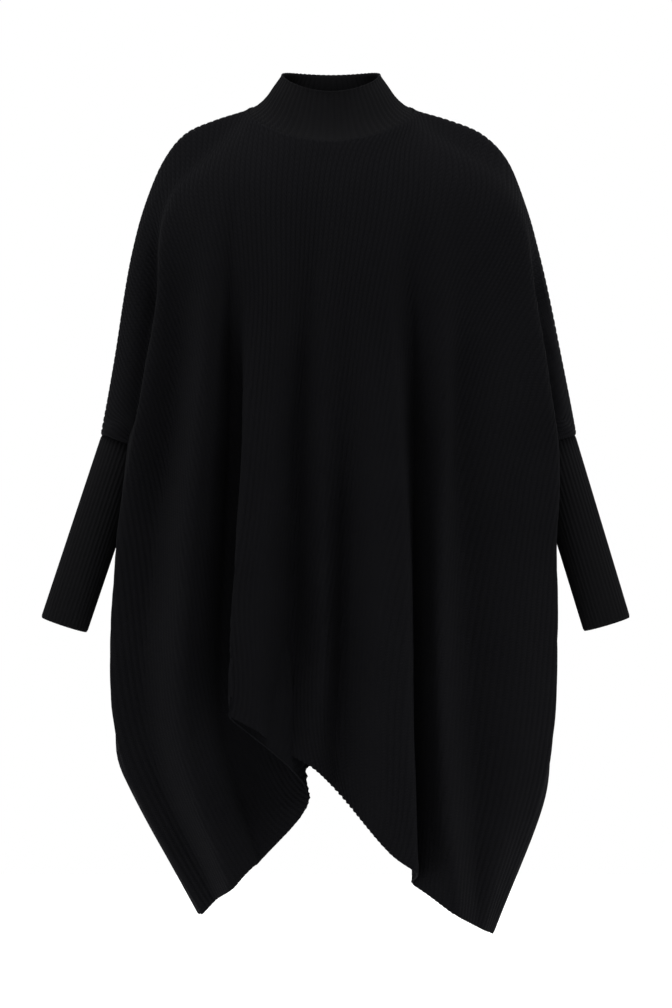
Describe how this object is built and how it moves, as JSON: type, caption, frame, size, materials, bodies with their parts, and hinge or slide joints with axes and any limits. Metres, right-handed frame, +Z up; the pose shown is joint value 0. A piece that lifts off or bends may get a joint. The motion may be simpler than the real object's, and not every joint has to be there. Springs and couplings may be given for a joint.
{
  "type": "knitted poncho sweater",
  "caption": "Wide ribbed-knit poncho sweater, worn form: flared ribbed collar, wide front and back in deep folds to two hem points, slim ribbed sleeves",
  "frame": {"origin": "middle of the neck, level with the shoulders that carry the garment", "axes": "+Z up, -Y out of the garment's front, +X towards the garment's own left sleeve, the viewer's right"},
  "size_m": [0.7359, 0.2712, 1.0796],
  "materials": {
    "panel_knit": "matte black ribbed knit",
    "rib_knit": "matte black rib knit, collar and sleeves"
  },
  "bodies": {
    "root": {"collar": "rib_knit", "front": "panel_knit", "back": "panel_knit", "sleeve_left": "rib_knit", "sleeve_right": "rib_knit"}
  },
  "joints": []
}
